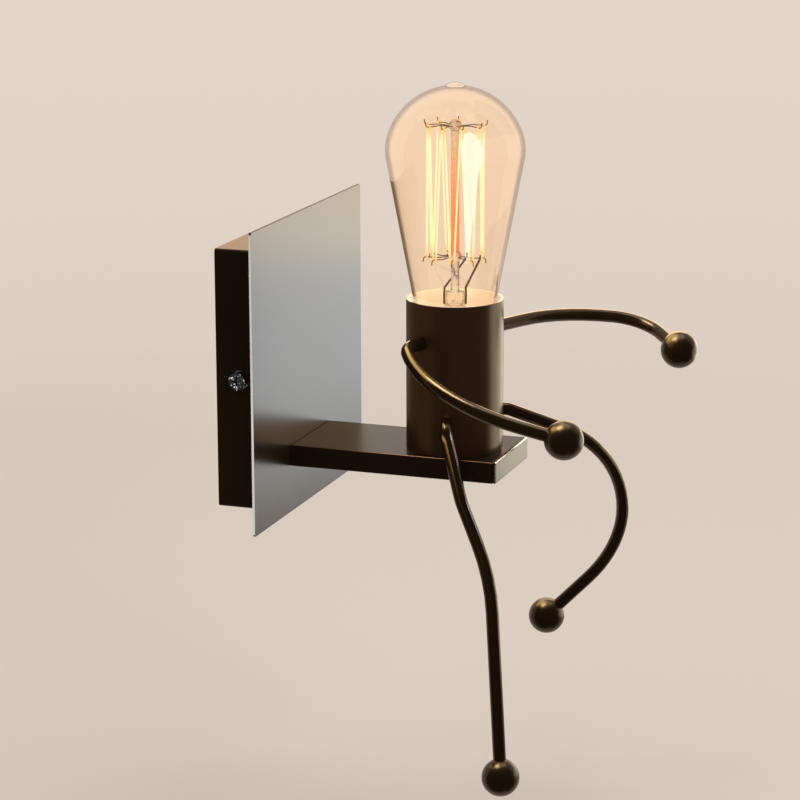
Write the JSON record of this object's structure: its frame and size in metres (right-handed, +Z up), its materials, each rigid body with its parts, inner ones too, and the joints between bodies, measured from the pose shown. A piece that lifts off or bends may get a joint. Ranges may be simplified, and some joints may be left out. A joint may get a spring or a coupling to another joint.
{
  "type": "figure-shaped industrial wall lamp",
  "caption": "Industrial wall lamp shaped like a seated figure: a square wall box, a flat bar, a bulb sleeve with a long filament bulb, and bent rod arms and legs with ball ends that swivel.",
  "frame": {"origin": "centre of the two wall screw slots, on the wall plane at the back of the box", "axes": "+X along the wall, to the right as seen facing the wall; +Y into the wall; +Z up"},
  "size_m": [0.1586, 0.1922, 0.3205],
  "materials": {
    "dark_bronze_paint": "semi-gloss dark bronze paint",
    "zinc_steel": "bright zinc plate",
    "bronzed_steel": "bronzed screw heads",
    "black_plastic": "matt black",
    "ivory_plastic": "matt",
    "brass": "bare brass",
    "brown_pvc": "wire insulation",
    "blue_pvc": "wire insulation",
    "green_yellow_pvc": "wire insulation",
    "ceramic": "glazed ceramic",
    "tin": "tinned contact",
    "black_glass": "opaque black glass",
    "amber_glass": "clear amber",
    "clear_glass": "clear",
    "hook_wire": "grey wire",
    "filament_wire": "glowing filament"
  },
  "bodies": {
    "frame": {"back_box": "dark_bronze_paint", "front_plate": "dark_bronze_paint", "support_bar": "dark_bronze_paint", "bar_end_cap": "dark_bronze_paint", "sleeve": "dark_bronze_paint", "wall_bracket": "zinc_steel", "plate_nuts": "zinc_steel", "bar_plug": "zinc_steel", "bar_screws": "zinc_steel", "earth_lug": "zinc_steel", "earth_nut": "zinc_steel", "nipple": "zinc_steel", "nipple_nuts": "zinc_steel", "side_screws": "bronzed_steel", "access_plug": "black_plastic", "wire_bush": "black_plastic", "terminal_block": "ivory_plastic", "terminal_screws": "brass", "screw_shell": "brass", "centre_contact": "brass", "side_contact": "brass", "live_wire": "brown_pvc", "neutral_wire": "blue_pvc", "earth_wire": "green_yellow_pvc", "holder_dome": "ceramic", "holder_body": "ceramic"},
    "bulb_contact": {"bulb_eyelet": "tin"},
    "bulb": {"bulb_insulator": "black_glass", "bulb_cap": "brass", "bulb_glass": "amber_glass", "bulb_stem": "clear_glass", "upper_hooks": "hook_wire", "lower_hooks": "hook_wire", "filament": "filament_wire", "filament_leads": "hook_wire"},
    "left_arm": {"left_arm_rod": "dark_bronze_paint", "left_arm_ball": "dark_bronze_paint", "left_arm_nut": "zinc_steel"},
    "right_arm": {"right_arm_rod": "dark_bronze_paint", "right_arm_ball": "dark_bronze_paint", "right_arm_nut": "zinc_steel"},
    "left_leg": {"left_leg_rod": "dark_bronze_paint", "left_leg_ball": "dark_bronze_paint", "left_leg_nut": "zinc_steel"},
    "right_leg": {"right_leg_rod": "dark_bronze_paint", "right_leg_ball": "dark_bronze_paint", "right_leg_nut": "zinc_steel"}
  },
  "joints": [
    {"name": "bulb_lift", "type": "slide", "parent": "frame", "child": "bulb_contact", "axis": [0, 0, 1], "range_m": [0, 0.011]},
    {"name": "bulb_turn", "type": "hinge", "parent": "bulb_contact", "child": "bulb", "pos_m": [0, -0.094, 0], "axis": [0, 0, 1], "range_deg": [0, 1080]},
    {"name": "left_arm_swivel", "type": "hinge", "parent": "frame", "child": "left_arm", "pos_m": [-0.02055, -0.08485, 0.014], "axis": [-0.9135, 0.4067, 0], "range_deg": [-30, 60]},
    {"name": "right_arm_swivel", "type": "hinge", "parent": "frame", "child": "right_arm", "pos_m": [0.02055, -0.10315, 0.014], "axis": [0.9135, -0.4067, 0], "range_deg": [-60, 30]},
    {"name": "left_leg_swivel", "type": "hinge", "parent": "frame", "child": "left_leg", "pos_m": [-0.02222, -0.09752, -0.022], "axis": [-0.9877, -0.1564, 0], "range_deg": [-25, 25]},
    {"name": "right_leg_swivel", "type": "hinge", "parent": "frame", "child": "right_leg", "pos_m": [0.01225, -0.11287, -0.022], "axis": [0.5446, -0.8387, 0], "range_deg": [-25, 25]}
  ],
  "couplings": [
    {"joint": "bulb_lift", "follows": "bulb_turn", "m_per_rad": 0.00057757}
  ]
}
